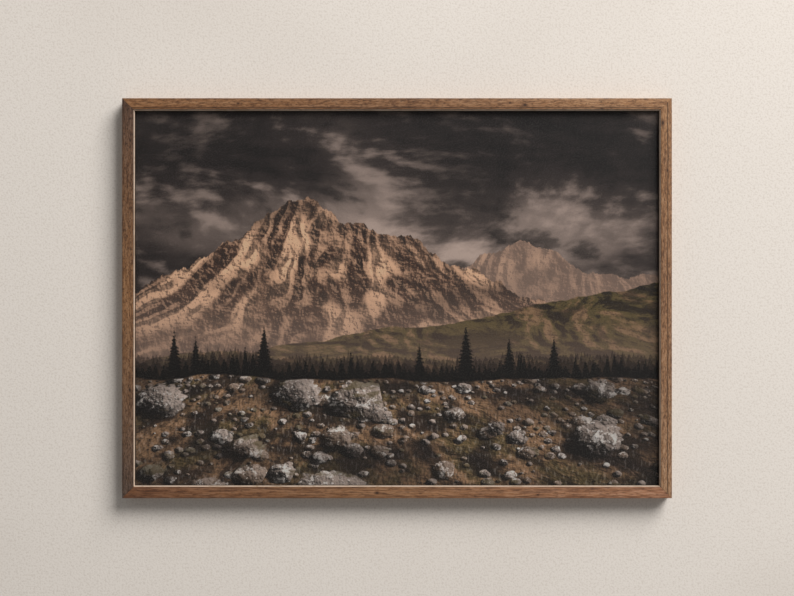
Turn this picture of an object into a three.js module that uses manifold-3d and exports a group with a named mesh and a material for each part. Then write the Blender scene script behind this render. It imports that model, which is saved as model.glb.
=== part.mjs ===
// Framed print for a wall: four mitred wooden rails with a pale bevelled slip inside them, picture
// glass, a paper print, a backing board held by flexible points, a sawtooth hanger and two bumpers.
// Millimetres. X runs to the viewer's right, Z is up, the front looks along -Y and the wall is y = 0.
// The origin is on the wall, level with the hanger's middle notch, where a wall nail carries it.
import * as THREE from 'three';
import { mergeVertices } from 'three/addons/utils/BufferGeometryUtils.js';
import Module from 'manifold-3d';

const wasm = await Module();
wasm.setup();

// Driving dimensions of the frame
const SIGHT_WIDTH = 700;
const SIGHT_HEIGHT = 500;
const SLIP_REVEAL = 2;
const FACE_WIDTH = 15;
const RAIL_DEPTH = 22;
const LIP_THICKNESS = 5;
const REBATE_WIDTH = 5;
const EDGE_ROUND = 1;
const BACK_CHAMFER = 0.6;
const ARC_STEPS = 4;

// Driving dimensions of how it hangs
const STANDOFF = 2;
const TOP_ABOVE_HOOK = 8.5;

// Clearance between pieces that touch
const GAP = 0.3;

// Slip: the thin pale moulding inside the wood
const SLIP_FLANGE = 1.5;
const SLIP_FRONT = 0.9;
const SLIP_FLAT = 0.35;
const SLIP_NOSE = 1.2;

// Sheets in the rebate; the print is a 28 by 20 inch sheet
const GLASS_THICKNESS = 2;
const PRINT_THICKNESS = 0.4;
const PRINT_WIDTH = 711;
const PRINT_HEIGHT = 508;
const BOARD_THICKNESS = 3;
const SHEET_PLAY = 1;

// Flexible points that hold the board
const POINT_THICKNESS = 0.5;
const POINT_WIDTH = 8;
const POINT_BITE = 5;
const POINT_TAPER = 3.5;
const POINT_REACH = 12;
const POINT_HOLE = 1.6;
const POINTS_LONG_SIDE = 4;
const POINTS_SHORT_SIDE = 3;

// Corner nails: folded steel driven across each mitre from behind
const NAIL_INSET = 4.2;
const NAIL_LEG = 4.5;
const NAIL_THICKNESS = 0.6;
const NAIL_LENGTH = 10;
const NAIL_SUNK = 0.3;

// Sawtooth hanger
const HANGER_LENGTH = 62;
const HANGER_FOOT = 12;
const HANGER_RAMP = 4;
const HANGER_THICKNESS = 0.7;
const HANGER_HEIGHT = 9;
const TOOTH_DEPTH = 2;
const TOOTH_PITCH = 3.2;
const NOTCH_COUNT = 9;
const NOTCH_WIDTH = 2.9;
const NOTCH_OVERCUT = 1.05;
const PIN_HEAD_RADIUS = 1.9;
const PIN_HEAD_THICKNESS = 0.4;
const PIN_RADIUS = 0.7;
const PIN_BITE = 7;
const PIN_SIDES = 16;

// Rubber bumpers at the lower corners
const BUMPER_RADIUS = 4.2;
const BUMPER_FLAT = 3.2;
const BUMPER_INSET = 24;
const BUMPER_SIDES = 32;

// Sizes that follow
const FRAME_WIDTH = SIGHT_WIDTH + 2 * (SLIP_REVEAL + FACE_WIDTH);
const FRAME_HEIGHT = SIGHT_HEIGHT + 2 * (SLIP_REVEAL + FACE_WIDTH);
const LAND_WIDTH = FACE_WIDTH - REBATE_WIDTH;
const REBATE_SPAN_X = FRAME_WIDTH - 2 * LAND_WIDTH;
const REBATE_SPAN_Z = FRAME_HEIGHT - 2 * LAND_WIDTH;
const FRAME_BOTTOM = TOP_ABOVE_HOOK - FRAME_HEIGHT;
const FRAME_MIDDLE = TOP_ABOVE_HOOK - FRAME_HEIGHT / 2;
const FRONT_Y = -(STANDOFF + RAIL_DEPTH);
const QUARTER_TURN = Math.PI / 2;

// Where each layer starts, measured back from the front face of the wood
const FLANGE_AT = LIP_THICKNESS + GAP;
const GLASS_AT = FLANGE_AT + SLIP_FLANGE + GAP;
const PRINT_AT = GLASS_AT + GLASS_THICKNESS + GAP;
const BOARD_AT = PRINT_AT + PRINT_THICKNESS + GAP;
const POINT_AT = BOARD_AT + BOARD_THICKNESS + GAP;

// The mitred sides of the frame: each one's length, its turn about Y, the middle of its outer edge
// and the corner of the frame at its own left end.
const SIDES = [
  {
    name: 'top',
    corner: 'top_left',
    length: FRAME_WIDTH,
    turn: 0,
    x: 0,
    z: TOP_ABOVE_HOOK,
    points: POINTS_LONG_SIDE,
  },
  {
    name: 'right',
    corner: 'top_right',
    length: FRAME_HEIGHT,
    turn: QUARTER_TURN,
    x: FRAME_WIDTH / 2,
    z: FRAME_MIDDLE,
    points: POINTS_SHORT_SIDE,
  },
  {
    name: 'bottom',
    corner: 'bottom_right',
    length: FRAME_WIDTH,
    turn: 2 * QUARTER_TURN,
    x: 0,
    z: FRAME_BOTTOM,
    points: POINTS_LONG_SIDE,
  },
  {
    name: 'left',
    corner: 'bottom_left',
    length: FRAME_HEIGHT,
    turn: -QUARTER_TURN,
    x: -FRAME_WIDTH / 2,
    z: FRAME_MIDDLE,
    points: POINTS_SHORT_SIDE,
  },
];

// Materials

function walnutStainedOak() {
  return new THREE.MeshStandardMaterial({ color: '#7a5b45', roughness: 0.6, metalness: 0 });
}

function paleLimedWood() {
  return new THREE.MeshStandardMaterial({ color: '#b39a84', roughness: 0.65, metalness: 0 });
}

function pictureGlass() {
  return new THREE.MeshStandardMaterial({
    color: '#eef2f0',
    roughness: 0.05,
    metalness: 0,
    transparent: true,
    opacity: 0.08,
  });
}

function printedPaper() {
  return new THREE.MeshStandardMaterial({ color: '#594b43', roughness: 0.55, metalness: 0 });
}

function hardboard() {
  return new THREE.MeshStandardMaterial({ color: '#8a6a4d', roughness: 0.85, metalness: 0 });
}

function springSteel() {
  return new THREE.MeshStandardMaterial({ color: '#6d6f72', roughness: 0.45, metalness: 1 });
}

function zincPlatedSteel() {
  return new THREE.MeshStandardMaterial({ color: '#b4b2a8', roughness: 0.35, metalness: 1 });
}

function blackRubber() {
  return new THREE.MeshStandardMaterial({ color: '#2b2b2a', roughness: 0.8, metalness: 0 });
}

// Solids

function toSolid(geometry) {
  const bare = geometry.clone();
  bare.deleteAttribute('normal');
  bare.deleteAttribute('uv');
  const merged = mergeVertices(bare);
  const mesh = new wasm.Mesh({
    numProp: 3,
    vertProperties: merged.getAttribute('position').array,
    triVerts: new Uint32Array(merged.getIndex().array),
  });
  return new wasm.Manifold(mesh);
}

function toGeometry(solid) {
  const mesh = solid.getMesh();
  const geometry = new THREE.BufferGeometry();
  geometry.setAttribute('position', new THREE.BufferAttribute(mesh.vertProperties, 3));
  geometry.setIndex(new THREE.BufferAttribute(mesh.triVerts, 1));
  geometry.computeVertexNormals();
  return geometry;
}

function cutAway(geometry, cutters) {
  let solid = toSolid(geometry);
  for (const cutter of cutters) {
    solid = solid.subtract(toSolid(cutter));
  }
  return toGeometry(solid);
}

function outline(points) {
  return new THREE.Shape(points.map(([x, y]) => new THREE.Vector2(x, y)));
}

// A section given as [in from the outer edge, back from the front], run along X and centred.
function runAlongRail(section, length) {
  const geometry = new THREE.ExtrudeGeometry(section, {
    depth: length,
    bevelEnabled: false,
    curveSegments: ARC_STEPS,
  });
  geometry.rotateY(QUARTER_TURN);
  geometry.translate(-length / 2, FRONT_Y, 0);
  return geometry;
}

// A flat outline given as [x, z], with its front at frontY and its thickness behind that.
function plateFrom(shape, frontY, thickness, curveSegments = ARC_STEPS) {
  const geometry = new THREE.ExtrudeGeometry(shape, {
    depth: thickness,
    bevelEnabled: false,
    curveSegments,
  });
  geometry.rotateX(QUARTER_TURN);
  geometry.translate(0, frontY + thickness, 0);
  return geometry;
}

// The wedge-ended space that one side of the frame may fill, half a gap short of each mitre.
function mitreSpace(length) {
  const over = 1;
  const deep = FACE_WIDTH + SLIP_REVEAL + over;
  const half = length / 2 - (GAP / 2) * Math.SQRT2;
  const plan = outline([
    [-half - over, over],
    [half + over, over],
    [half - deep, -deep],
    [-half + deep, -deep],
  ]);
  return plateFrom(plan, FRONT_Y - over, RAIL_DEPTH + 2 * over);
}

function mitred(geometry, length) {
  return toSolid(geometry).intersect(toSolid(mitreSpace(length)));
}

// Rails

function railSection() {
  const section = new THREE.Shape();
  section.moveTo(EDGE_ROUND, 0);
  section.lineTo(FACE_WIDTH - EDGE_ROUND, 0);
  section.absarc(FACE_WIDTH - EDGE_ROUND, EDGE_ROUND, EDGE_ROUND, -QUARTER_TURN, 0, false);
  section.lineTo(FACE_WIDTH, LIP_THICKNESS);
  section.lineTo(LAND_WIDTH, LIP_THICKNESS);
  section.lineTo(LAND_WIDTH, RAIL_DEPTH);
  section.lineTo(BACK_CHAMFER, RAIL_DEPTH);
  section.lineTo(0, RAIL_DEPTH - BACK_CHAMFER);
  section.lineTo(0, EDGE_ROUND);
  section.absarc(EDGE_ROUND, EDGE_ROUND, EDGE_ROUND, Math.PI, 1.5 * Math.PI, false);
  return section;
}

function pointPlaces(side) {
  const spacing = side.length / side.points;
  const places = [];
  for (let i = 0; i < side.points; i += 1) {
    places.push((i - (side.points - 1) / 2) * spacing);
  }
  return places;
}

// The slot that a flexible point is driven into, cut a little past the rebate's wall.
function pointSlot(x) {
  const over = 1;
  const deep = POINT_BITE + GAP + over;
  const slot = new THREE.BoxGeometry(POINT_WIDTH + 2 * GAP, POINT_THICKNESS + 2 * GAP, deep);
  const end = -LAND_WIDTH + POINT_BITE + GAP;
  slot.translate(x, FRONT_Y + POINT_AT + POINT_THICKNESS / 2, end - deep / 2);
  return slot;
}

// The folded outline of a corner nail, with its corner towards the frame's own corner.
function nailOutline(grow) {
  const outer = NAIL_INSET - NAIL_THICKNESS / 2 - grow;
  const inner = NAIL_INSET + NAIL_THICKNESS / 2 + grow;
  const end = NAIL_INSET + NAIL_LEG + grow;
  return outline([
    [outer, -outer],
    [outer, -end],
    [inner, -end],
    [inner, -inner],
    [end, -inner],
    [end, -outer],
  ]);
}

// The saw cut for the nail at the rail's left end, and the one turned for its right end.
function nailSlots(length) {
  const front = -(STANDOFF + NAIL_SUNK + NAIL_LENGTH + GAP);
  const thickness = NAIL_LENGTH + GAP + NAIL_SUNK + 1;
  const left = plateFrom(nailOutline(GAP), front, thickness);
  const right = left.clone();
  right.rotateY(QUARTER_TURN);
  left.translate(-length / 2, 0, 0);
  right.translate(length / 2, 0, 0);
  return [left, right];
}

// The holes for the hanger's two pins, from the wall plane into the wood.
function hangerPinHoles() {
  return [-1, 1].map((end) => {
    const depth = STANDOFF + PIN_BITE + GAP;
    const hole = new THREE.CylinderGeometry(PIN_RADIUS + GAP, PIN_RADIUS + GAP, depth, PIN_SIDES);
    hole.translate(end * hangerPinX(), -depth / 2, hangerMiddleZ());
    return hole;
  });
}

function railGeometry(side) {
  const blank = mitred(runAlongRail(railSection(), side.length), side.length);
  const cutters = [...pointPlaces(side).map(pointSlot), ...nailSlots(side.length)];
  if (side.name === 'top') {
    cutters.push(...hangerPinHoles().map((hole) => hole.translate(0, 0, -TOP_ABOVE_HOOK)));
  }
  return cutAway(toGeometry(blank), cutters);
}

// Slips: a flange under the lip of the wood and a steep bevel down to the glass.
function slipGeometry(side) {
  const flangeEnd = LAND_WIDTH + GAP;
  const back = FLANGE_AT + SLIP_FLANGE;
  const wood = FACE_WIDTH + GAP;
  const sight = FACE_WIDTH + SLIP_REVEAL;
  const section = outline([
    [flangeEnd, FLANGE_AT],
    [wood, FLANGE_AT],
    [wood, SLIP_FRONT],
    [wood + SLIP_FLAT, SLIP_FRONT],
    [sight, back - SLIP_NOSE],
    [sight, back],
    [flangeEnd, back],
  ]);
  return toGeometry(mitred(runAlongRail(section, side.length), side.length));
}

// Flexible points: pointed where they enter the wood, round at the free end, with a small hole.
function pointGeometry() {
  const tip = -LAND_WIDTH + POINT_BITE;
  const shoulder = tip - POINT_TAPER;
  const half = POINT_WIDTH / 2;
  const roundAt = -LAND_WIDTH - POINT_REACH + half;
  const shape = new THREE.Shape();
  shape.moveTo(0, tip);
  shape.lineTo(-half, shoulder);
  shape.lineTo(-half, roundAt);
  shape.absarc(0, roundAt, half, Math.PI, 2 * Math.PI, false);
  shape.lineTo(half, shoulder);
  shape.closePath();
  const hole = new THREE.Path();
  hole.absarc(0, roundAt, POINT_HOLE, 0, 2 * Math.PI, true);
  shape.holes.push(hole);
  return plateFrom(shape, FRONT_Y + POINT_AT, POINT_THICKNESS, 2 * ARC_STEPS);
}

function nailGeometry() {
  return plateFrom(nailOutline(0), -(STANDOFF + NAIL_SUNK + NAIL_LENGTH), NAIL_LENGTH);
}

// Sheets, centred in the frame
function sheetGeometry(width, height, thickness, at) {
  const sheet = new THREE.BoxGeometry(width, thickness, height);
  sheet.translate(0, FRONT_Y + at + thickness / 2, 0);
  return sheet;
}

// Hanger: a strip with flat feet on the wood and a raised middle whose lower edge is toothed.
function hangerMiddleZ() {
  return -TOOTH_DEPTH + HANGER_HEIGHT / 2;
}

function hangerPinX() {
  return HANGER_LENGTH / 2 - HANGER_FOOT / 2;
}

function hangerStrip() {
  const footFront = -(STANDOFF - GAP);
  const rise = STANDOFF - 2 * GAP - HANGER_THICKNESS;
  const end = HANGER_LENGTH / 2;
  const foot = end - HANGER_FOOT;
  const crown = foot - HANGER_RAMP;
  const front = [
    [-end, footFront],
    [-foot, footFront],
    [-crown, footFront + rise],
    [crown, footFront + rise],
    [foot, footFront],
    [end, footFront],
  ];
  const back = front.map(([x, y]) => [x, y + HANGER_THICKNESS]).reverse();
  const strip = new THREE.ExtrudeGeometry(outline([...front, ...back]), {
    depth: HANGER_HEIGHT,
    bevelEnabled: false,
  });
  strip.translate(0, 0, -TOOTH_DEPTH);
  return strip;
}

function hangerNotch(index) {
  const x = (index - (NOTCH_COUNT - 1) / 2) * TOOTH_PITCH;
  const bottom = -TOOTH_DEPTH * NOTCH_OVERCUT;
  const spread = (NOTCH_WIDTH / 2) * NOTCH_OVERCUT;
  const notch = outline([
    [x - spread, bottom],
    [x + spread, bottom],
    [x, 0],
  ]);
  return plateFrom(notch, -STANDOFF, STANDOFF);
}

function hangerGeometry() {
  const cutters = hangerPinHoles();
  for (let i = 0; i < NOTCH_COUNT; i += 1) {
    cutters.push(hangerNotch(i));
  }
  return cutAway(hangerStrip(), cutters);
}

// A pin with a flat round head, turned about its own axis and laid along Y.
function pinGeometry() {
  const headBack = -(STANDOFF - GAP) + HANGER_THICKNESS + GAP + PIN_HEAD_THICKNESS;
  const headFront = headBack - PIN_HEAD_THICKNESS;
  const shankEnd = -(STANDOFF + PIN_BITE);
  const profile = [
    [0, shankEnd],
    [PIN_RADIUS, shankEnd + PIN_RADIUS],
    [PIN_RADIUS, headFront],
    [PIN_HEAD_RADIUS, headFront],
    [PIN_HEAD_RADIUS, headBack],
    [0, headBack],
  ];
  return new THREE.LatheGeometry(profile.map(([r, y]) => new THREE.Vector2(r, y)), PIN_SIDES);
}

// A low rubber dome with a flat back that touches the wall.
function bumperGeometry() {
  const front = -(STANDOFF - GAP);
  const profile = [
    [0, front],
    [BUMPER_RADIUS, front],
    [BUMPER_RADIUS, front / 2],
    [(BUMPER_RADIUS + BUMPER_FLAT) / 2, front / 6],
    [BUMPER_FLAT, 0],
    [0, 0],
  ];
  return new THREE.LatheGeometry(profile.map(([r, y]) => new THREE.Vector2(r, y)), BUMPER_SIDES);
}

// Assembly

function addPiece(parent, name, geometry, material, x = 0, z = 0) {
  const piece = new THREE.Mesh(geometry, material);
  piece.name = name;
  piece.position.set(x, 0, z);
  parent.add(piece);
}

function buildSide(side) {
  const group = new THREE.Group();
  group.position.set(side.x, 0, side.z);
  group.rotation.y = side.turn;
  addPiece(group, `rail_${side.name}`, railGeometry(side), walnutStainedOak());
  addPiece(group, `slip_${side.name}`, slipGeometry(side), paleLimedWood());
  addPiece(group, `mitre_nail_${side.corner}`, nailGeometry(), springSteel(), -side.length / 2);
  pointPlaces(side).forEach((x, i) => {
    addPiece(group, `board_point_${side.name}_${i + 1}`, pointGeometry(), springSteel(), x);
  });
  return group;
}

function buildSheets() {
  const group = new THREE.Group();
  group.position.z = FRAME_MIDDLE;
  const width = REBATE_SPAN_X - 2 * SHEET_PLAY;
  const height = REBATE_SPAN_Z - 2 * SHEET_PLAY;
  const glass = sheetGeometry(width, height, GLASS_THICKNESS, GLASS_AT);
  const print = sheetGeometry(PRINT_WIDTH, PRINT_HEIGHT, PRINT_THICKNESS, PRINT_AT);
  const board = sheetGeometry(width, height, BOARD_THICKNESS, BOARD_AT);
  addPiece(group, 'glazing_sheet', glass, pictureGlass());
  addPiece(group, 'print_sheet', print, printedPaper());
  addPiece(group, 'backing_board', board, hardboard());
  return group;
}

function buildHanger() {
  const group = new THREE.Group();
  addPiece(group, 'hanger_plate', hangerGeometry(), zincPlatedSteel());
  for (const [name, end] of [['left', -1], ['right', 1]]) {
    const x = end * hangerPinX();
    addPiece(group, `hanger_pin_${name}`, pinGeometry(), zincPlatedSteel(), x, hangerMiddleZ());
  }
  return group;
}

function buildBumpers() {
  const group = new THREE.Group();
  const z = FRAME_BOTTOM + LAND_WIDTH / 2;
  for (const [name, end] of [['left', -1], ['right', 1]]) {
    const x = end * (FRAME_WIDTH / 2 - BUMPER_INSET);
    addPiece(group, `wall_bumper_${name}`, bumperGeometry(), blackRubber(), x, z);
  }
  return group;
}

const group = new THREE.Group();
for (const side of SIDES) {
  group.add(buildSide(side));
}
group.add(buildSheets(), buildHanger(), buildBumpers());

export default group;
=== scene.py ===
"""Framed print for a wall: mitred stained oak rails, a pale limed slip, picture glass, a landscape
print, a hardboard back held by flexible points, a sawtooth hanger and rubber bumpers.

Metres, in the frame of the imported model: X to the viewer's right, Z up, the picture faces -Y and the
wall is the plane y = 0. The origin is where the wall nail carries the hanger.
"""
import math
from functools import partial

import bmesh
import bpy
from mathutils import Matrix, Vector, noise


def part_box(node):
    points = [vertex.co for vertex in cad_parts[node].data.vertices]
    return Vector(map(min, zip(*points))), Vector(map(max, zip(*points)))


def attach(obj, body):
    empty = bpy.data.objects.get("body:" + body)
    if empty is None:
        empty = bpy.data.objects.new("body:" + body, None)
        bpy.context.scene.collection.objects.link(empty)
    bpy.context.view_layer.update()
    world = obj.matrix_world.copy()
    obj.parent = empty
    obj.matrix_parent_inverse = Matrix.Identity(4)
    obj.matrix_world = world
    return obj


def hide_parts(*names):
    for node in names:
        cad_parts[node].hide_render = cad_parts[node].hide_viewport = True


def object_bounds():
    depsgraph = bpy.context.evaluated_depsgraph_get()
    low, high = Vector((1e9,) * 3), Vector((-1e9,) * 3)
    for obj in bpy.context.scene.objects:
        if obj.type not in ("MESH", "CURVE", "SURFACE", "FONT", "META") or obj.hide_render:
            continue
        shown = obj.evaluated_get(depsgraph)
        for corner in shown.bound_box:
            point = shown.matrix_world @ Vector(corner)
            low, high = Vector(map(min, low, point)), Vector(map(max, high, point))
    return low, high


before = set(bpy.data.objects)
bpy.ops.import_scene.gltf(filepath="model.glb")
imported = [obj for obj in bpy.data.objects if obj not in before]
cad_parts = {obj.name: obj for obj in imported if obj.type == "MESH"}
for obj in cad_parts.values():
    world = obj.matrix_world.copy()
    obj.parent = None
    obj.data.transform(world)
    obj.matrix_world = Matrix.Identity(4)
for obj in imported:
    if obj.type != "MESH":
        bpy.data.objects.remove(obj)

bl_info = {
    "name": "Framed print",
    "version": (1, 0, 0),
    "blender": (4, 5, 0),
    "location": "3D View > Sidebar > Framed print",
    "description": "Builds a framed landscape print that hangs on a wall",
    "category": "Add Mesh",
}

MM = 0.001
PER_MM = (1 / MM, 1 / MM, 1 / MM)
BODY = "root"
CAD_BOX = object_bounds()

# The frame's own sizes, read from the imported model
RAIL_LOW, RAIL_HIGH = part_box("rail_top")
SLIP_LOW, SLIP_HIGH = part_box("slip_top")
_, BOARD_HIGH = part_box("backing_board")
POINT_LOW, POINT_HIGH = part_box("board_point_top_1")
NAIL_LOW, NAIL_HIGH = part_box("mitre_nail_top_left")
PIN_LOW, PIN_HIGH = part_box("hanger_pin_right")
BUMPER_LOW, BUMPER_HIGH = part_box("wall_bumper_right")
FRAME_WIDTH = CAD_BOX[1].x - CAD_BOX[0].x
FRAME_HEIGHT = CAD_BOX[1].z - CAD_BOX[0].z
FRAME_TOP = CAD_BOX[1].z
FRAME_MIDDLE = FRAME_TOP - FRAME_HEIGHT / 2
FRONT_Y = RAIL_LOW.y
RAIL_BACK_Y = RAIL_HIGH.y
RAIL_DEPTH = RAIL_BACK_Y - FRONT_Y
FACE_WIDTH = RAIL_HIGH.z - RAIL_LOW.z
SLIP_OUTER = FRAME_TOP - SLIP_HIGH.z
SLIP_SIGHT = FRAME_TOP - SLIP_LOW.z
SLIP_FRONT = SLIP_LOW.y - FRONT_Y
SLIP_BACK = SLIP_HIGH.y - FRONT_Y

# Sizes of the mouldings that the boxes don't give
LIP_THICKNESS = 5 * MM
LAND_WIDTH = 10 * MM
BACK_CHAMFER = 0.6 * MM
SLIP_WOOD = FACE_WIDTH + 0.3 * MM
SLIP_FLAT = 0.35 * MM
SLIP_FLANGE = 1.5 * MM
SLIP_NOSE = 1.2 * MM
# How far back from the front the painted shade on the slip's lip begins
SLIP_LIP = 3.9 * MM

# How fast the wander of a sanded edge changes, per metre along the edge and across it, and per metre of
# the side's length, which sets one side apart from the next
WANDER_ALONG = 28
WANDER_ACROSS = 200
WANDER_APART = 9

# The four sides: turn about Y, length, middle of the outer edge, and how many points hold the board
QUARTER_TURN = math.pi / 2
SIDES = {
    "top": (0.0, FRAME_WIDTH, (0, FRAME_TOP), 4),
    "right": (QUARTER_TURN, FRAME_HEIGHT, (FRAME_WIDTH / 2, FRAME_MIDDLE), 3),
    "bottom": (2 * QUARTER_TURN, FRAME_WIDTH, (0, FRAME_TOP - FRAME_HEIGHT), 4),
    "left": (-QUARTER_TURN, FRAME_HEIGHT, (-FRAME_WIDTH / 2, FRAME_MIDDLE), 3),
}


def linear(hex_colour):
    """An sRGB hex colour as linear RGBA."""
    channels = []
    for i in (1, 3, 5):
        c = int(hex_colour[i:i + 2], 16) / 255
        channels.append(c / 12.92 if c <= 0.04045 else ((c + 0.055) / 1.055) ** 2.4)
    return (*channels, 1.0)


def colour_property(name, description, default):
    return bpy.props.FloatVectorProperty(
        name=name, description=description, subtype="COLOR", size=4, min=0, max=1,
        default=linear(default))


def length_property(name, description, default):
    return bpy.props.FloatProperty(
        name=name, description=description, default=default, min=0, unit="LENGTH", subtype="DISTANCE")


class FrameSettings(bpy.types.PropertyGroup):
    """Sizes and colours of the wood."""

    arris: length_property("Arris", "Radius of the rails' front edges", 0.6 * MM)
    mitre_gap: length_property("Mitre gap", "Half of the open line left at each mitre", 0.16 * MM)
    wander: length_property("Wander", "How far hand-sanded edges wander", 0.12 * MM)
    wood_dark: colour_property("Latewood", "Darkest bands of the stained oak", "#6F4D35")
    wood_mid: colour_property("Stain", "Ground colour of the stained oak", "#A2754D")
    wood_light: colour_property("Earlywood", "Lightest bands of the stained oak", "#C39B76")
    wood_pore: colour_property("Pores", "Stain gathered in the open pores", "#3B281B")
    wood_raw: colour_property("Raw oak", "Unstained back of the rails", "#B7966B")
    slip_colour: colour_property("Slip", "Limed wood of the inner slip", "#D2BAA5")
    slip_grain: colour_property("Slip grain", "Darker grain under the liming", "#A58B72")
    # Painted shade: the dark colour of the slip's lip next to the glass, where the gap in front of the glass
    # lies in shade
    slip_lip_shade: colour_property("Slip edge", "Stained lip of the slip, next to the glass", "#2A1D12")


class PrintSettings(bpy.types.PropertyGroup):
    """Inks of the printed landscape."""

    sky_dark: colour_property("Sky, dark", "Umber of the storm cloud", "#3B3330")
    sky_deep: colour_property("Sky, deep", "Undersides of the cloud", "#201C1B")
    sky_light: colour_property("Sky, light", "Break in the cloud above the range", "#A8968A")
    haze: colour_property("Haze", "Air at the foot of the range", "#8C786B")
    tawny_lit: colour_property("Range, lit", "Tawny rock in the light", "#C2A085")
    tawny_shade: colour_property("Range, shade", "Tawny rock in the shade", "#4A382F")
    moss: colour_property("Moss", "Mossy ground", "#60543A")
    umber: colour_property("Umber", "Ground in the shade", "#2F2723")
    pine: colour_property("Pines", "Dark pines", "#1C1816")
    grass: colour_property("Grass", "Dry grass", "#8A7058")
    rock_lit: colour_property("Stones, lit", "Grey-brown stones in the light", "#AC9C90")
    rock_shade: colour_property("Stones, shade", "Shadows of the stones", "#1E1917")
    lichen: colour_property("Lichen", "Pale lichen on the stones", "#D6CCC2")


class BackSettings(bpy.types.PropertyGroup):
    """Finishes of what is behind the picture."""

    hardboard: colour_property("Hardboard", "Smooth face of the backing board", "#7A5637")
    steel: colour_property("Spring steel", "Flexible points and corner nails", "#8E8F92")
    zinc: colour_property("Zinc", "Hanger and its pins", "#C9C8C2")
    rubber: colour_property("Rubber", "Wall bumpers", "#262625")


class StageSettings(bpy.types.PropertyGroup):
    """Camera, lights and backdrop."""

    camera_distance: length_property("Camera distance", "From the lens to the front of the frame", 2.0)
    key_power: bpy.props.FloatProperty(
        name="Key", description="Large soft light at the upper right", default=390, unit="POWER")
    back_power: bpy.props.FloatProperty(
        name="Back light", description="Soft light behind the frame", default=140, unit="POWER")
    fill: bpy.props.FloatProperty(
        name="Fill", description="Even light from all round", default=0.219, min=0, subtype="FACTOR")
    wall_colour: colour_property("Wall", "Plain pale wall", "#EAE1D7")
    floor_colour: colour_property("Floor", "Plain pale floor", "#C2BDB5")


# Meshes

def add_object(name, mesh, material=None):
    made = bpy.data.objects.new(name, mesh)
    bpy.context.scene.collection.objects.link(made)
    if material:
        mesh.materials.clear()
        mesh.materials.append(material)
    return made


def finish_piece(piece, slot, *nodes):
    """Rides a finished piece on the frame's one body and hides the CAD nodes it stands for."""
    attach(piece, BODY)
    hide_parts(*nodes)


def dress_node(name, material):
    """Gives a CAD node that stays its finished material."""
    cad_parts[name].material_slots[0].material = material


def soften(mesh, angle=math.radians(32)):
    """Smooth shading with true edges kept sharp, and faces that point outwards."""
    work = bmesh.new()
    work.from_mesh(mesh)
    bmesh.ops.remove_doubles(work, verts=work.verts, dist=1e-7)
    bmesh.ops.recalc_face_normals(work, faces=work.faces)
    work.to_mesh(mesh)
    work.free()
    mesh.shade_smooth()
    mesh.set_sharp_from_angle(angle=angle)
    mesh.update()


def arc(centre, radius, start, end, steps):
    """Points of an arc in a section, with its angles in quarter turns."""
    angles = [(start + (end - start) * i / steps) * QUARTER_TURN for i in range(steps + 1)]
    return [(centre[0] + radius * math.cos(a), centre[1] + radius * math.sin(a)) for a in angles]


def domed_end(flat, radius, foot, rise, steps):
    """Profile points of a domed end, from its foot at the full radius up to the flat of its top."""
    angles = [i * QUARTER_TURN / steps for i in range(steps + 1)]
    return [(flat + (radius - flat) * math.cos(a), foot + rise * math.sin(a)) for a in angles]


def pair_places(low, high, left_turn, right_turn):
    """Places for a pair of pieces, from the CAD box of the right one."""
    x = (high.x + low.x) / 2
    z = (high.z + low.z) / 2
    return [(-x, z, left_turn), (x, z, right_turn)]


def side_matrix(side):
    turn, _, (x, z), _ = SIDES[side]
    return Matrix.Translation((x, 0, z)) @ Matrix.Rotation(turn, 4, "Y")


def sweep_mitred(name, side, section, steps, gap, wander=0.0):
    """A closed moulding along one side with mitred ends.

    The section's points are (in from the outer edge, back from the front, how worn). What is worn
    wanders a little, as a sanded edge does, and is kept as the attribute "arris".
    """
    length = SIDES[side][1]
    count = len(section)
    verts, faces, arris = [], [], []
    for i in range(steps + 1):
        along = 2 * i / steps - 1
        for inwards, back, on_arris in section:
            half = length / 2 - inwards - gap
            spot = (along * half * WANDER_ALONG, inwards * WANDER_ACROSS, length * WANDER_APART)
            chance = noise.noise(Vector(spot))
            dip = wander * on_arris * max(0.0, 0.5 + chance)
            sideways = dip if inwards < FACE_WIDTH / 2 else -dip
            verts.append((along * half, FRONT_Y + back + dip, -(inwards + sideways)))
            arris.append(on_arris)
    for i in range(steps):
        for j in range(count):
            a = i * count + j
            b = i * count + (j + 1) % count
            faces.append((a, b, b + count, a + count))
    faces.append(tuple(reversed(range(count))))
    faces.append(tuple(steps * count + j for j in range(count)))
    mesh = bpy.data.meshes.new(name)
    mesh.from_pydata([side_matrix(side) @ Vector(v) for v in verts], [], faces)
    values = mesh.attributes.new("arris", "FLOAT", "POINT")
    values.data.foreach_set("value", arris)
    soften(mesh)
    return mesh


def lathe_mesh(name, profile, steps=40):
    """A closed turned mesh round Y. The profile is (radius, y), and starts and ends on the axis."""
    work = bmesh.new()
    ring = [work.verts.new((radius, y, 0)) for radius, y in profile]
    edges = [work.edges.new(pair) for pair in zip(ring, ring[1:])]
    bmesh.ops.spin(work, geom=ring + edges, axis=(0, 1, 0), cent=(0, 0, 0), steps=steps, angle=2 * math.pi)
    mesh = bpy.data.meshes.new(name)
    work.to_mesh(mesh)
    work.free()
    soften(mesh)
    return mesh


def plate_mesh(name, rim, front, back, holes=()):
    """A flat plate in XZ from a rim of (x, z) points, with holes as further rims."""
    work = bmesh.new()
    for loop in (rim, *holes):
        verts = [work.verts.new((x, front, z)) for x, z in loop]
        for a, b in zip(verts, verts[1:] + verts[:1]):
            work.edges.new((a, b))
    bmesh.ops.triangle_fill(work, edges=work.edges[:], use_beauty=True)
    grown = bmesh.ops.extrude_face_region(work, geom=work.faces[:])["geom"]
    moved = [v for v in grown if isinstance(v, bmesh.types.BMVert)]
    bmesh.ops.translate(work, verts=moved, vec=(0, back - front, 0))
    mesh = bpy.data.meshes.new(name)
    work.to_mesh(mesh)
    work.free()
    soften(mesh)
    return mesh


# Nodes

# Which output of a Mix node is its colour
MIXED_COLOUR = 2

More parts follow.
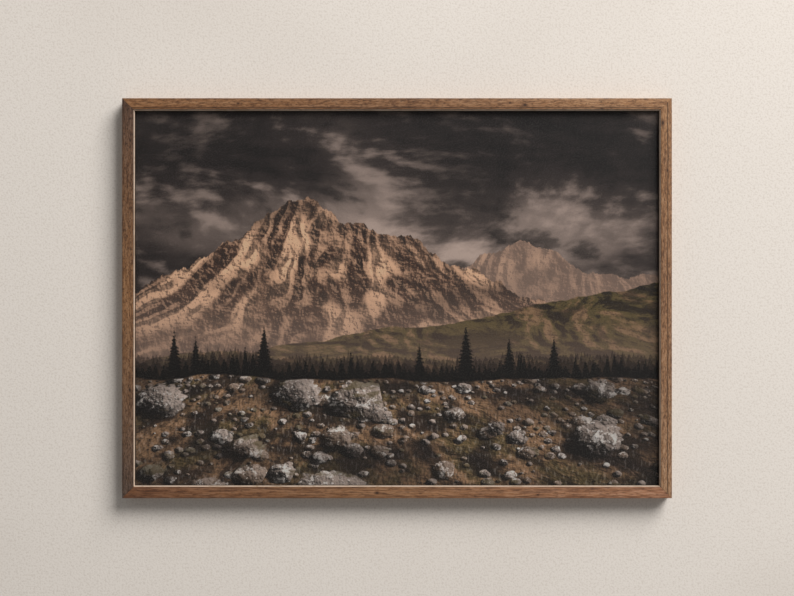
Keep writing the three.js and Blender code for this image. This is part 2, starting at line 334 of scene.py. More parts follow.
# How far towards the light a relief looks, as shares of its blobs' width and height
LIGHT_STEP = (0.06, 0.05)


def add_node(tree, kind, inputs=None, **settings):
    """Adds a node. Each input, by name or number, is a value, a socket or a node.

    A name means the first input of that name in use, and a node its first output in use.
    """
    made = tree.nodes.new(kind if "Node" in kind else "ShaderNode" + kind)
    for name, value in settings.items():
        setattr(made, name, value)
    for name, value in (inputs or {}).items():
        if isinstance(name, str):
            socket = next(s for s in made.inputs if s.enabled and s.name == name)
        else:
            socket = made.inputs[name]
        if isinstance(value, bpy.types.Node):
            value = next(s for s in value.outputs if s.enabled)
        if isinstance(value, bpy.types.NodeSocket):
            tree.links.new(value, socket)
        else:
            socket.default_value = value
    return made


def copies_tree():
    """Geometry Nodes that set a piece on each point, turned about Y by its attribute "turn"."""
    tree = bpy.data.node_groups.new("Set out copies", "GeometryNodeTree")
    kinds = {"Geometry": "Geometry", "Piece": "Object", "Finish": "Material", "Tilt": "Float", "Seed": "Int"}
    for name, kind in kinds.items():
        tree.interface.new_socket(name, in_out="INPUT", socket_type="NodeSocket" + kind)
    tree.interface.new_socket("Geometry", in_out="OUTPUT", socket_type="NodeSocketGeometry")
    add = partial(add_node, tree)
    given = add("NodeGroupInput").outputs
    turn = add("GeometryNodeInputNamedAttribute", {"Name": "turn"}, data_type="FLOAT")
    least = add("ShaderNodeMath", {0: given["Tilt"], 1: -1.0}, operation="MULTIPLY")
    tilt = add(
        "FunctionNodeRandomValue", {"Min": least, "Max": given["Tilt"], "Seed": given["Seed"]},
        data_type="FLOAT")
    angle = add("ShaderNodeMath", {0: turn, 1: tilt}, operation="ADD")
    euler = add("ShaderNodeCombineXYZ", {"Y": angle})
    shape = add("GeometryNodeObjectInfo", {"Object": given["Piece"]}).outputs["Geometry"]
    copies = add(
        "GeometryNodeInstanceOnPoints",
        {"Points": given["Geometry"], "Instance": shape, "Rotation": euler})
    real = add("GeometryNodeRealizeInstances", {"Geometry": copies})
    coated = add("GeometryNodeSetMaterial", {"Geometry": real, "Material": given["Finish"]})
    add("NodeGroupOutput", {0: coated})
    return tree


def set_out(name, shape, places, material, tilt=0.0, seed=0):
    """One plain mesh with a copy of the shape at each place, given as (x, z, turn about Y)."""
    model = add_object(name + "_shape", shape)
    points = bpy.data.meshes.new(name)
    points.from_pydata([(x, 0, z) for x, z, _ in places], [], [])
    turns = points.attributes.new("turn", "FLOAT", "POINT")
    turns.data.foreach_set("value", [place[2] for place in places])
    carrier = add_object(name + "_places", points)
    tree = bpy.data.node_groups.get("Set out copies") or copies_tree()
    modifier = carrier.modifiers.new("Copies", "NODES")
    modifier.node_group = tree
    inputs = {"Piece": model, "Finish": material, "Tilt": tilt, "Seed": seed}
    for socket in tree.interface.items_tree:
        if socket.name in inputs:
            modifier[socket.identifier] = inputs[socket.name]
    bpy.context.view_layer.update()
    evaluated = carrier.evaluated_get(bpy.context.evaluated_depsgraph_get())
    mesh = bpy.data.meshes.new_from_object(evaluated)
    mesh.name = name
    carrier.modifiers.clear()
    bpy.data.objects.remove(carrier)
    bpy.data.objects.remove(model)
    return add_object(name, mesh)


def new_material(name, **values):
    """An empty node material, its tree and its shader, with plain values on the shader's sockets."""
    material = bpy.data.materials.new(name)
    material.use_nodes = True
    tree = material.node_tree
    tree.nodes.clear()
    shader = add_node(tree, "BsdfPrincipled", {key.replace("_", " "): v for key, v in values.items()})
    add_node(tree, "OutputMaterial", {"Surface": shader})
    return material, tree, shader


def noise_fields(tree, place, rows, **settings):
    """Named noises. Each row is name: (blob size in mm along X, Y, Z, detail, roughness, distortion)."""
    fields = {}
    for name, (size_x, size_y, size_z, detail, rough, distortion) in rows.items():
        sized = add_node(
            tree, "VectorMath", {0: place, 1: (1 / size_x, 1 / size_y, 1 / size_z)}, operation="MULTIPLY")
        fields[name] = add_node(
            tree, "TexNoise",
            {"Vector": sized, "Scale": 1, "Detail": detail, "Roughness": rough, "Distortion": distortion},
            **settings)
    return fields


def lit_reliefs(tree, place, rows, **settings):
    """Noises seen as hills and hollows: how much each falls away towards the light at the upper right."""
    reliefs = {}
    for name, row in rows.items():
        step = (LIGHT_STEP[0] * row[0], LIGHT_STEP[1] * row[1], 0)
        towards = add_node(tree, "VectorMath", {0: place, 1: step}, operation="ADD")
        here, there = (noise_fields(tree, spot, {name: row}, **settings)[name] for spot in (place, towards))
        reliefs[name] = add_node(tree, "Math", {0: here, 1: there}, operation="SUBTRACT")
    return reliefs


def lay_coats(tree, ground, rows):
    """Colours laid over the ground. Each row is (field, its value for none, for full, colour, share)."""
    for field, none, full, colour, share in rows:
        cover = add_node(
            tree, "MapRange", {"Value": field, "From Min": none, "From Max": full, "To Max": share},
            interpolation_type="SMOOTHSTEP")
        mixed = add_node(tree, "Mix", {"Factor": cover, "A": ground, "B": colour}, data_type="RGBA")
        ground = mixed.outputs[MIXED_COLOUR]
    return ground


def in_millimetres(tree):
    """Object coordinates in millimetres."""
    place = add_node(tree, "TexCoord").outputs["Object"]
    return add_node(tree, "VectorMath", {0: place, 1: PER_MM}, operation="MULTIPLY")


def finish_surface(tree, shader, colour, height, strength, depth):
    """Joins a colour and a relief to the shader."""
    bump = add_node(tree, "Bump", {"Strength": strength, "Distance": depth, "Height": height})
    tree.links.new(colour, shader.inputs["Base Color"])
    tree.links.new(bump.outputs[0], shader.inputs["Normal"])


def vary_roughness(tree, shader, field, least, most):
    """Lets a field carry the shader's roughness from its least to its most."""
    rough = add_node(tree, "MapRange", {
        "Value": field, "From Min": 0.3, "From Max": 0.7, "To Min": least, "To Max": most})
    tree.links.new(rough.outputs[0], shader.inputs["Roughness"])


# Each side's board: where its grain is cut from (mm), how far it slopes, how long its flecks are, how
# strong its pores and streaks are, its tone at its left, middle and right end as seen with its outer
# edge up, its pin knots as (x, z, radius) in mm of the frame, and a long dark line in mm from the
# outer edge. The tones are partly the boards' own colour and partly painted light and shade: lighter
# towards the frame's upper right, darker towards its lower left and at the ends of the left side.
BOARDS = {
    "top": {
        "cut": (0, 0, 0), "slope": 0.012, "length": 1.0, "pores": 0.65, "streaks": 0.7, "line": 12.6,
        "tones": ((0.69, 0.61, 0.53), (0.63, 0.58, 0.56), (0.95, 0.92, 0.89)),
        "knots": ((170.8, -0.7, 1.5), (273.5, -6.0, 1.2), (-212, 1.6, 0.8))},
    "right": {
        "cut": (1240, 60, 400), "slope": 0.004, "length": 0.85, "pores": 0.55, "streaks": 0.4, "line": 5.8,
        "tones": ((0.83, 0.79, 0.74), (0.76, 0.74, 0.78), (0.86, 0.90, 1.00)),
        "knots": ((354.7, -24.4, 1.6), (361.0, -88.0, 0.9))},
    "bottom": {
        "cut": (2610, 120, 810), "slope": -0.006, "length": 1.8, "pores": 0.5, "streaks": 1.1, "line": None,
        "tones": ((0.90, 0.80, 0.90), (0.70, 0.65, 0.63), (0.47, 0.38, 0.37)),
        "knots": ((-26.7, -518.4, 1.4), (188.0, -521.0, 0.9))},
    "left": {
        "cut": (3890, 180, 1230), "slope": 0.006, "length": 0.9, "pores": 0.95, "streaks": 1.1, "line": None,
        "tones": ((0.25, 0.30, 0.45), (0.65, 0.59, 0.52), (0.25, 0.25, 0.33)),
        "knots": ((-356.5, -381.0, 1.1),)},
}

# A pin knot's height as a share of its length, and how far a long dark line wanders, in mm
KNOT_HEIGHT = 0.55
LINE_WANDER = 2.4


def stained_oak(side, settings):
    """Oak sanded, stained and waxed: straight bands, open pores that hold the stain, a soft sheen.

    Real pores are 0.3 mm across; they are drawn about three times as wide, or they wouldn't show.
    """
    board = BOARDS[side]
    turn, length, (mid_x, mid_z), _ = SIDES[side]
    material, tree, shader = new_material("Stained oak, " + side, Roughness=0.54, Specular_IOR_Level=0.35)
    add = partial(add_node, tree)
    lying = Matrix.Rotation(-turn, 3, "Y")
    start = lying @ Vector((mid_x, 0, mid_z)) / MM
    straight = add("Mapping", {
        "Vector": in_millimetres(tree), "Rotation": (0, -turn, 0), "Location": -start})
    sloped = add("Mapping", {
        "Vector": straight, "Rotation": (0, board["slope"], 0), "Location": board["cut"]})
    fields = noise_fields(tree, sloped, {
        "bands": (190, 7, 4.2, 3, 0.6, 0.6),
        "streaks": (34 * board["length"], 3.6, 2.0, 3, 0.62, 0.3),
        "pores": (4.6 * board["length"], 1.3, 1.4, 2, 0.75, 0),
        "mottle": (40, 30, 11, 3, 0.55, 0),
        "fibre": (11 * board["length"], 1.4, 1.4, 2, 0.65, 0),
    })
    rows = [
        (fields["bands"], 0.44, 0.3, settings.wood_dark, 0.65),
        (fields["bands"], 0.54, 0.72, settings.wood_light, 0.65),
        (fields["streaks"], 0.5, 0.33, settings.wood_dark, 0.75 * board["streaks"]),
        (fields["streaks"], 0.55, 0.7, settings.wood_light, 0.6 * board["streaks"]),
        (fields["mottle"], 0.45, 0.25, settings.wood_dark, 0.5),
        (fields["mottle"], 0.55, 0.75, settings.wood_light, 0.4),
        (fields["fibre"], 0.5, 0.36, settings.wood_dark, 0.8),
        (fields["fibre"], 0.52, 0.66, settings.wood_light, 0.65),
        (fields["pores"], 0.53, 0.7, settings.wood_light, 0.8 * board["pores"]),
        (fields["pores"], 0.47, 0.34, settings.wood_pore, board["pores"]),
    ]
    for x, z, radius in board["knots"]:
        centre = lying @ Vector((x, 0, z)) - start
        offset = add("VectorMath", {0: straight, 1: centre}, operation="SUBTRACT")
        sized = (KNOT_HEIGHT / radius, 0, 1 / radius)
        shaped = add("VectorMath", {0: offset, 1: sized}, operation="MULTIPLY")
        reach = add("VectorMath", {0: shaped}, operation="LENGTH").outputs["Value"]
        rows.append((reach, 2.3, 1.2, settings.wood_dark, 0.7))
        rows.append((reach, 1.15, 0.6, settings.wood_pore, 0.95))
    axes = add("SeparateXYZ", {0: straight}).outputs
    if board["line"] is not None:
        wandering = add(
            "Math", {0: fields["mottle"], 1: LINE_WANDER, 2: axes["Z"]}, operation="MULTIPLY_ADD")
        from_line = add("Math", {0: wandering, 1: board["line"] - LINE_WANDER / 2}, operation="ADD")
        away = add("Math", {0: from_line}, operation="ABSOLUTE")
        rows.append((away, 1.0, 0.35, settings.wood_pore, 0.72))
    # The rounded edges are drawn a little darker
    on_arris = add("Attribute", attribute_name="arris").outputs["Fac"]
    rows.append((on_arris, 0.2, 1.0, settings.wood_dark, 0.2))
    grain = lay_coats(tree, settings.wood_mid, rows)
    # Partly painted light and shade: the ramp lightens or darkens each side towards its ends, as its tones
    # say
    half = length / 2 / MM
    share = add("MapRange", {"Value": axes["X"], "From Min": -half, "From Max": half})
    tone = add("ValToRGB", {0: share})
    tone.color_ramp.elements.new(0.5)
    for stop, value in zip(tone.color_ramp.elements, board["tones"]):
        stop.color = (*value, 1)
    toned = add("Mix", {"Factor": 1.0, "A": grain, "B": tone}, data_type="RGBA", blend_type="MULTIPLY")
    raw = lay_coats(tree, settings.wood_raw, [
        (fields["bands"], 0.45, 0.3, settings.wood_light, 0.8),
        (fields["streaks"], 0.55, 0.35, settings.wood_mid, 0.45),
        (fields["pores"], 0.45, 0.3, settings.wood_mid, 0.7),
    ])
    stain_ends = RAIL_BACK_Y / MM - 0.7
    raw_begins = RAIL_BACK_Y / MM - 0.15
    colour = lay_coats(tree, toned, [(axes["Y"], stain_ends, raw_begins, raw, 0.85)])
    height = add("Math", {0: fields["pores"], 1: fields["fibre"]}, operation="ADD")
    finish_surface(tree, shader, colour, height, 0.35, 0.12 * MM)
    return material


def limed_wood(settings):
    """Fine-grained wood rubbed with white lime wax: pale and dead matt, with painted shade on its lip by the
    glass.
    """
    material, tree, shader = new_material("Limed wood", Roughness=0.72, Specular_IOR_Level=0.3)
    place = in_millimetres(tree)
    fields = noise_fields(tree, place, {
        "cloud": (38, 38, 38, 3, 0.6, 0),
        "flecks": (4.5, 4.5, 4.5, 2, 0.5, 0),
    })
    depth = add_node(tree, "SeparateXYZ", {0: place}).outputs["Y"]
    lip = (FRONT_Y + SLIP_LIP) / MM
    soft = 0.3
    colour = lay_coats(tree, settings.slip_colour, [
        (fields["cloud"], 0.5, 0.25, settings.slip_grain, 0.8),
        (fields["flecks"], 0.45, 0.3, settings.slip_grain, 0.6),
        # Painted shade: from this depth on, the lip next to the glass is drawn dark brown
        (depth, lip - soft, lip + soft, settings.slip_lip_shade, 1),
    ])
    finish_surface(tree, shader, colour, fields["flecks"], 0.3, 0.1 * MM)
    return material


def picture_glass():
    """Clear float glass: almost all light goes through, with a thin mirror on its face.

    Its colour is black because what it doesn't let through isn't scattered back as a haze.
    """
    material, tree, shader = new_material(
        "Picture glass", Base_Color=linear("#0C100E"), Roughness=0.03, IOR=1.5, Alpha=0.08,
        Specular_IOR_Level=0.8)
    ripple = noise_fields(tree, in_millimetres(tree), {"ripple": (160, 160, 160, 0, 0.5, 0)})["ripple"]
    bump = add_node(tree, "Bump", {"Strength": 0.04, "Distance": 0.4 * MM, "Height": ripple})
    tree.links.new(bump.outputs[0], shader.inputs["Normal"])
    return material


# The landscape on the print. Sizes are mm on the sheet, and a noise that is WIDE one way is even that way.
WIDE = 1e7
FLAT = {"noise_dimensions": "2D"}
RIDGED = {"noise_dimensions": "2D", "noise_type": "RIDGED_MULTIFRACTAL"}

# The light break in the cloud: its middle and its reach
GLOW_PLACE = (70, 45)
GLOW_REACH = (300, 110)

# A mountain: how round its summit is, how its spurs fan out below it and how far they are bent
SUMMIT_ROUNDING = 9.0
FAN_HEIGHT = 170
FAN_TOP = 1.4
FAN_FOOT = 0.6
SPUR_BEND = 30

# The hills: how far they rise to the right, where they stand and how high they swell
HILL_RISE = 0.16
HILL_FOOT = -78.0
HILL_SWELL = 80.0

# The ground: its far edge, how much that swells and how much the pines' feet do
GROUND_EDGE = -130.0
GROUND_SWELL = 44.0
VALLEY_SWELL = 50.0

# The ground runs away to the horizon. What stands FULL_SIZE_BELOW it is drawn at its own size, the ground
# nearer to it than FARTHEST isn't drawn any smaller, and RECESSION is a step away that is e times smaller.
HORIZON = 40.0
FULL_SIZE_BELOW = 100.0
FARTHEST = 12.0
RECESSION = 153.0

# A stone, in shares of its cell: how it is flattened, how far its spot lies to the lower left of its
# middle, how knocked about it is, how far its shadow lies to the lower left, which way its light comes
# from, and the least radius that is drawn
STONE_FLATTENING = (0.8, 1.15)
STONE_RISE = (-0.09, -0.09, 0)
STONE_KNOCKS = (0.18, 0.18, 0)
STONE_SHADOW = (0.09, 0.07, 0)
STONE_LIGHT = (0.65, 0.75, 0)
STONE_LEAST = 0.08

# The print: its contrast, the gain of its red, green and blue, the paper's white, and how far its light
# middle reaches
PRINT_CONTRAST = 1.4
PRINT_GAIN = (2.45, 2.6, 2.8)
PAPER_WHITE = (0.85, 0.83, 0.79)
LIGHT_MIDDLE = (420, 300)


class LandscapePainter:
    """Paints the landscape from the sky to the nearest stone, each layer over the one before.

    Sizes are mm on the sheet, from its middle. Light falls from the upper right throughout.
    """

    def __init__(self, tree, inks):
        self.tree, self.inks = tree, inks
        self.add = partial(add_node, tree)
        axes = self.add("SeparateXYZ", {0: in_millimetres(tree)}).outputs
        self.x = axes["X"]
        self.z = self.add("Math", {0: axes["Z"], 1: FRAME_MIDDLE / MM}, operation="SUBTRACT")
        self.sheet = self.add("CombineXYZ", {"X": self.x, "Y": self.z})
        self.fields = noise_fields(tree, self.sheet, {
            "clouds": (250, 120, 1, 6, 0.52, 0.15),
            "breaks": (330, 150, 1, 2, 0.5, 0),
            "patches": (75, 40, 1, 4, 0.62, 0.4),
            "valley": (170, WIDE, 1, 3, 0.5, 0),
            "stands": (46, WIDE, 1, 2, 0.5, 0),
            "needles": (3.2, 2.6, 1, 1, 0.6, 0),
            "blades": (3.5, 9, 1, 1, 0.6, 0),
            "lichen": (24, 20, 1, 5, 0.74, 0.3),
            "specks": (5.5, 5, 1, 2, 0.7, 0),
            "light": (230, 90, 1, 1, 0.5, 0),
            "film": (1.6, 1.6, 1, 0, 0.5, 0),
        }, **FLAT)
        self.reliefs = lit_reliefs(tree, self.sheet, {
            "billows": (250, 120, 1, 6, 0.52, 0.15),
            "rock": (30, 30, 1, 5, 0.7, 0.1),
            "grit": (5.5, 5.5, 1, 1, 0.7, 0),
            "turf": (40, 12, 1, 4, 0.66, 0),
            "rolls": (120, 60, 1, 5, 0.55, 0.4),
        }, **FLAT)
        self.picture = inks.sky_dark

    def cover(self, top, soft, ink, share=1):
        """Covers everything below a line with an ink."""
        depth = self.add("Math", {0: top, 1: self.z}, operation="SUBTRACT")
        self.picture = lay_coats(self.tree, self.picture, [(depth, -soft, soft, ink, share)])
        return depth

    def paint_within(self, edge, near, far, ink, share, shown):
        """Paints what lies within an edge with an ink, where it is shown at all."""
        body = self.add("MapRange", {"Value": edge, "From Min": near, "From Max": far, "To Max": share})
        body = self.add("Math", {0: body, 1: shown}, operation="MULTIPLY")
        mixed = self.add("Mix", {"Factor": body, "A": self.picture, "B": ink}, data_type="RGBA")
        self.picture = mixed.outputs[MIXED_COLOUR]

    def sky(self):
        """Torn storm cloud with a light break over the far range."""
        inks, billows = self.inks, self.reliefs["billows"]
        place = (-GLOW_PLACE[0], -GLOW_PLACE[1], 0)
        reach = (1 / GLOW_REACH[0], 1 / GLOW_REACH[1], 0)
        glow = self.add("VectorMath", {0: self.sheet, 1: place}, operation="ADD")
        glow = self.add("VectorMath", {0: glow, 1: reach}, operation="MULTIPLY")
        glow = self.add("VectorMath", {0: glow}, operation="LENGTH").outputs["Value"]
        self.picture = lay_coats(self.tree, self.picture, [
            (self.fields["breaks"], 0.45, 0.7, inks.sky_light, 0.3),
            (glow, 1.35, 0.1, inks.sky_light, 0.85),
            (self.fields["clouds"], 0.58, 0.4, inks.sky_dark, 0.8),
            (billows, 0.0, 0.1, inks.sky_light, 0.5),
            (billows, 0.0, -0.09, inks.sky_deep, 0.6),
            (self.fields["breaks"], 0.5, 0.3, inks.sky_deep, 0.4),
        ])

    def mountain(self, peak_x, peak_z, fall_left, fall_right, rough, haze, seed):
        """A craggy peak whose spurs and gullies run down from its summit."""
        add, inks, reliefs = self.add, self.inks, self.reliefs
        shifted = add("VectorMath", {0: self.sheet, 1: (seed * 97, seed * 31, 0)}, operation="ADD")
        outline = noise_fields(self.tree, shifted, {
            "crags": (95, WIDE, 1, 6, 0.6, 0), "warp": (60, 60, 1, 2, 0.5, 0)}, **FLAT)
        aside = add("Math", {0: self.x, 1: -peak_x}, operation="ADD")
        left = add("Math", {0: aside, 1: fall_left}, operation="MULTIPLY")
        right = add("Math", {0: aside, 1: -fall_right}, operation="MULTIPLY")
        flanks = add("Math", {0: left, 1: right, 2: SUMMIT_ROUNDING}, operation="SMOOTH_MIN")
        shoulder = add("Math", {0: flanks, 1: peak_z - rough / 2}, operation="ADD")
        top = add("Math", {0: outline["crags"], 1: rough, 2: shoulder}, operation="MULTIPLY_ADD")
        below = add("Math", {0: peak_z, 1: self.z}, operation="SUBTRACT")
        spread = add(
            "MapRange", {"Value": below, "From Max": FAN_HEIGHT, "To Min": FAN_TOP, "To Max": FAN_FOOT},
            clamp=False)
        fan = add("Math", {0: aside, 1: spread}, operation="MULTIPLY")
        slope = add("CombineXYZ", {"X": fan, "Y": below})
        spot = add(
            "VectorMath", {0: outline["warp"].outputs["Color"], 1: (SPUR_BEND, SPUR_BEND, 0), 2: slope},
            operation="MULTIPLY_ADD")
        ridges = lit_reliefs(self.tree, spot, {
            "spurs": (62, 120, 1, 5, 0.55, 0), "gullies": (19, 42, 1, 4, 0.6, 0)}, **RIDGED)
        face = lay_coats(self.tree, inks.tawny_shade, [
            (ridges["spurs"], -0.012, 0.035, inks.tawny_lit, 0.92),
            (ridges["gullies"], 0.0, 0.05, inks.tawny_lit, 0.5),
            (ridges["gullies"], 0.0, -0.05, inks.umber, 0.65),
            (reliefs["rock"], 0.0, 0.08, inks.tawny_lit, 0.4),
            (reliefs["rock"], 0.0, -0.08, inks.umber, 0.65),
            (self.fields["light"], 0.5, 0.3, inks.umber, 0.5),
            (self.z, 50, -95, inks.haze, 0.6),
            (self.z, 300, 200, inks.haze, haze),
        ])
        self.cover(top, 0.7, face)

    def hills(self):
        """Mossy hills that rise to the right."""
        add, inks, reliefs = self.add, self.inks, self.reliefs
        rise = add("Math", {0: self.x, 1: HILL_RISE, 2: HILL_FOOT}, operation="MULTIPLY_ADD")
        outline = noise_fields(self.tree, self.sheet, {"hills": (210, WIDE, 1, 5, 0.5, 0)}, **FLAT)["hills"]
        top = add("Math", {0: outline, 1: HILL_SWELL, 2: rise}, operation="MULTIPLY_ADD")
        slopes = lay_coats(self.tree, inks.moss, [
            (reliefs["rolls"], -0.01, -0.06, inks.umber, 0.85),
            (reliefs["rolls"], 0.0, 0.07, inks.grass, 0.85),
            (self.fields["patches"], 0.5, 0.36, inks.umber, 0.65),
            (reliefs["turf"], 0.0, -0.1, inks.umber, 0.6),
            (reliefs["grit"], 0.0, -0.1, inks.umber, 0.35),
            (self.z, 0, -90, inks.haze, 0.35),
        ])
        self.cover(top, 0.6, slopes)

    def plant(self, width, foot, seed, stray):
        """Each pine's own chance in a row, the distance aside from it, and the line that it stands on."""
        stand = self.add("Math", {0: self.x, 1: 1 / width, 2: seed}, operation="MULTIPLY_ADD")
        pine = self.add("TexVoronoi", {"W": stand, "Scale": 1, "Randomness": stray}, voronoi_dimensions="1D")
        chance = self.add("SeparateColor", {0: pine.outputs["Color"]}).outputs["Red"]
        ground = self.add(
            "Math", {0: self.fields["valley"], 1: VALLEY_SWELL, 2: foot - VALLEY_SWELL / 2},
            operation="MULTIPLY_ADD")
        return chance, pine.outputs["Distance"], ground

    def pine_row(self, width, foot, tall, share, ink, seed):
        """A row of pines, in stands of different height."""
        add = self.add
        chance, aside, ground = self.plant(width, foot, seed, 1.0)
        group = add("MapRange", {
            "Value": self.fields["stands"], "From Min": 0.38, "From Max": 0.62, "To Min": 0.25})
        reach = add("Math", {0: chance, 1: tall * 0.75, 2: tall * 0.35}, operation="MULTIPLY_ADD")
        height = add("Math", {0: reach, 1: group}, operation="MULTIPLY")
        taper = add("Math", {0: aside, 1: -2.0, 2: 1.0}, operation="MULTIPLY_ADD")
        pointed = add("Math", {0: taper, 1: height}, operation="MULTIPLY")
        top = add("Math", {0: pointed, 1: ground}, operation="ADD")
        ragged = add("Math", {0: self.fields["needles"], 1: tall * 0.45, 2: top}, operation="MULTIPLY_ADD")
        lowered = add("Math", {0: ragged, 1: tall * 0.24}, operation="SUBTRACT")
        self.cover(lowered, 0.8, ink, share)

    def lone_pines(self, width, foot, tall, seed, least):
        """Tall single pines with drooping tiers of branches."""
        add = self.add
        tier_height, droop, crown, tip, raggedness = 5.0, 0.45, 0.62, 0.01, 0.16
        chance, aside, ground = self.plant(width, foot, seed, 0.5)
        height = add("MapRange", {"Value": chance, "From Min": least, "To Max": tall})
        height = add("Math", {0: height, 1: 1.0}, operation="MAXIMUM")
        up = add("Math", {0: self.z, 1: ground}, operation="SUBTRACT")
        share = add("Math", {0: up, 1: height}, operation="DIVIDE")
        tier = add("Math", {0: up, 1: 1 / tier_height, 2: self.fields["specks"]}, operation="MULTIPLY_ADD")
        in_tier = add("Math", {0: tier}, operation="FRACT")
        above = add("Math", {0: 1.0, 1: share}, operation="SUBTRACT")
        full = add("Math", {0: above, 1: crown, 2: tip}, operation="MULTIPLY_ADD")
        edge = add("Math", {0: in_tier, 1: -droop, 2: 1.0}, operation="MULTIPLY_ADD")
        half = add("Math", {0: full, 1: edge}, operation="MULTIPLY")
        wide = add("Math", {0: height, 1: 1 / tall}, operation="MULTIPLY")
        half = add("Math", {0: half, 1: wide}, operation="MULTIPLY")
        inside = add("Math", {0: half, 1: aside}, operation="SUBTRACT")
        jag = add("Math", {0: self.fields["needles"], 1: -0.5}, operation="ADD")
        inside = add("Math", {0: jag, 1: raggedness, 2: inside}, operation="MULTIPLY_ADD")
        over_foot = add("Math", {0: up, 1: 0.0}, operation="GREATER_THAN")
        under_tip = add("Math", {0: above, 1: 0.0}, operation="GREATER_THAN")
        shown = add("Math", {0: over_foot, 1: under_tip}, operation="MULTIPLY")
        self.paint_within(inside, -0.01, 0.05, self.inks.pine, 0.97, shown)

    def ground(self):
        """Dry grass and moss that run away from the viewer."""
        add, inks, valley = self.add, self.inks, self.fields["valley"]
        top = add("Math", {0: valley, 1: GROUND_SWELL, 2: GROUND_EDGE}, operation="MULTIPLY_ADD")
        below = add("Math", {0: HORIZON, 1: self.z}, operation="SUBTRACT")
        below = add("Math", {0: below, 1: FARTHEST}, operation="MAXIMUM")
        remoteness = add("Math", {0: FULL_SIZE_BELOW, 1: below}, operation="DIVIDE")
        across = add("Math", {0: self.x, 1: remoteness}, operation="MULTIPLY")
        away = add("Math", {0: remoteness, 1: math.e}, operation="LOGARITHM")
        away = add("Math", {0: away, 1: RECESSION}, operation="MULTIPLY")
        self.plane = add("CombineXYZ", {"X": across, "Y": away})
        fields = noise_fields(self.tree, self.plane, {
            "moss": (50, 50, 1, 5, 0.65, 0.2),
            "bare": (34, 30, 1, 4, 0.6, 0.2),
            "knocks": (7, 7, 1, 2, 0.55, 0),
        }, **FLAT)
        reliefs = lit_reliefs(self.tree, self.plane, {
            "clumps": (13, 10, 1, 4, 0.62, 0.2),
            "dips": (60, 60, 1, 3, 0.5, 0),
        }, **FLAT)
        self.knocks, self.clumps = fields["knocks"], reliefs["clumps"]
        turf = lay_coats(self.tree, inks.grass, [
            (fields["moss"], 0.44, 0.58, inks.moss, 0.9),
            (reliefs["dips"], 0.0, -0.07, inks.umber, 0.8),
            (self.clumps, 0.0, 0.12, inks.tawny_lit, 0.3),
            (self.clumps, 0.02, -0.12, inks.umber, 0.85),
            (fields["bare"], 0.56, 0.38, inks.umber, 0.85),
            (self.fields["blades"], 0.5, 0.3, inks.umber, 0.45),
            (self.fields["blades"], 0.58, 0.75, inks.lichen, 0.12),
            (self.fields["light"], 0.5, 0.34, inks.umber, 0.5),
        ])
        self.on_ground = self.cover(top, 1.4, turf)

    def stones(self, cell, seed, least, stray):
        """Stones of one size, each upright on its own spot, with its shadow to the lower left."""
        add, inks, reliefs = self.add, self.inks, self.reliefs
        shift = (seed, seed * 1.7, 0)
        spot = add(
            "VectorMath", {0: self.plane, 1: (1 / cell, 1 / cell, 0), 2: shift}, operation="MULTIPLY_ADD")
        stone = add("TexVoronoi", {"Vector": spot, "Scale": 1, "Randomness": stray}, voronoi_dimensions="2D")
        base = add("VectorMath", {0: stone.outputs["Position"], 1: shift}, operation="SUBTRACT")
        base = add("SeparateXYZ", {0: base}).outputs
        away = add("Math", {0: base["Y"], 1: cell / RECESSION}, operation="MULTIPLY")
        remoteness = add("Math", {0: away}, operation="EXPONENT")
        across = add("Math", {0: base["X"], 1: cell}, operation="MULTIPLY")
        foot_x = add("Math", {0: across, 1: remoteness}, operation="DIVIDE")
        below = add("Math", {0: FULL_SIZE_BELOW, 1: remoteness}, operation="DIVIDE")
        foot_z = add("Math", {0: HORIZON, 1: below}, operation="SUBTRACT")
        foot = add("CombineXYZ", {"X": foot_x, "Y": foot_z})
        offset = add("VectorMath", {0: self.sheet, 1: foot}, operation="SUBTRACT")
        offset = add("VectorMath", {0: offset, "Scale": remoteness}, operation="SCALE")
        sized = (STONE_FLATTENING[0] / cell, STONE_FLATTENING[1] / cell, 0)
        offset = add("VectorMath", {0: offset, 1: sized, 2: STONE_RISE}, operation="MULTIPLY_ADD")
        knocks = self.knocks.outputs["Color"]
        offset = add("VectorMath", {0: knocks, 1: STONE_KNOCKS, 2: offset}, operation="MULTIPLY_ADD")
        chance = add("SeparateColor", {0: stone.outputs["Color"]}).outputs
        radius = add("MapRange", {"Value": chance["Red"], "From Min": least, "To Max": 0.4})
        edges = []
        for slip in ((0, 0, 0), STONE_SHADOW):
            slipped = add("VectorMath", {0: offset, 1: slip}, operation="ADD")
            reach = add("VectorMath", {0: slipped}, operation="LENGTH").outputs["Value"]
            edges.append(add("Math", {0: radius, 1: reach}, operation="SUBTRACT"))
        outline, shadow = edges
        facing = add("VectorMath", {0: offset, 1: STONE_LIGHT}, operation="DOT_PRODUCT").outputs["Value"]
        facing = add("Math", {0: facing, 1: radius}, operation="DIVIDE")
        lump = add("Math", {0: reliefs["rock"], 1: 3.2, 2: facing}, operation="MULTIPLY_ADD")
        lump = add("Math", {0: self.clumps, 1: 1.6, 2: lump}, operation="MULTIPLY_ADD")
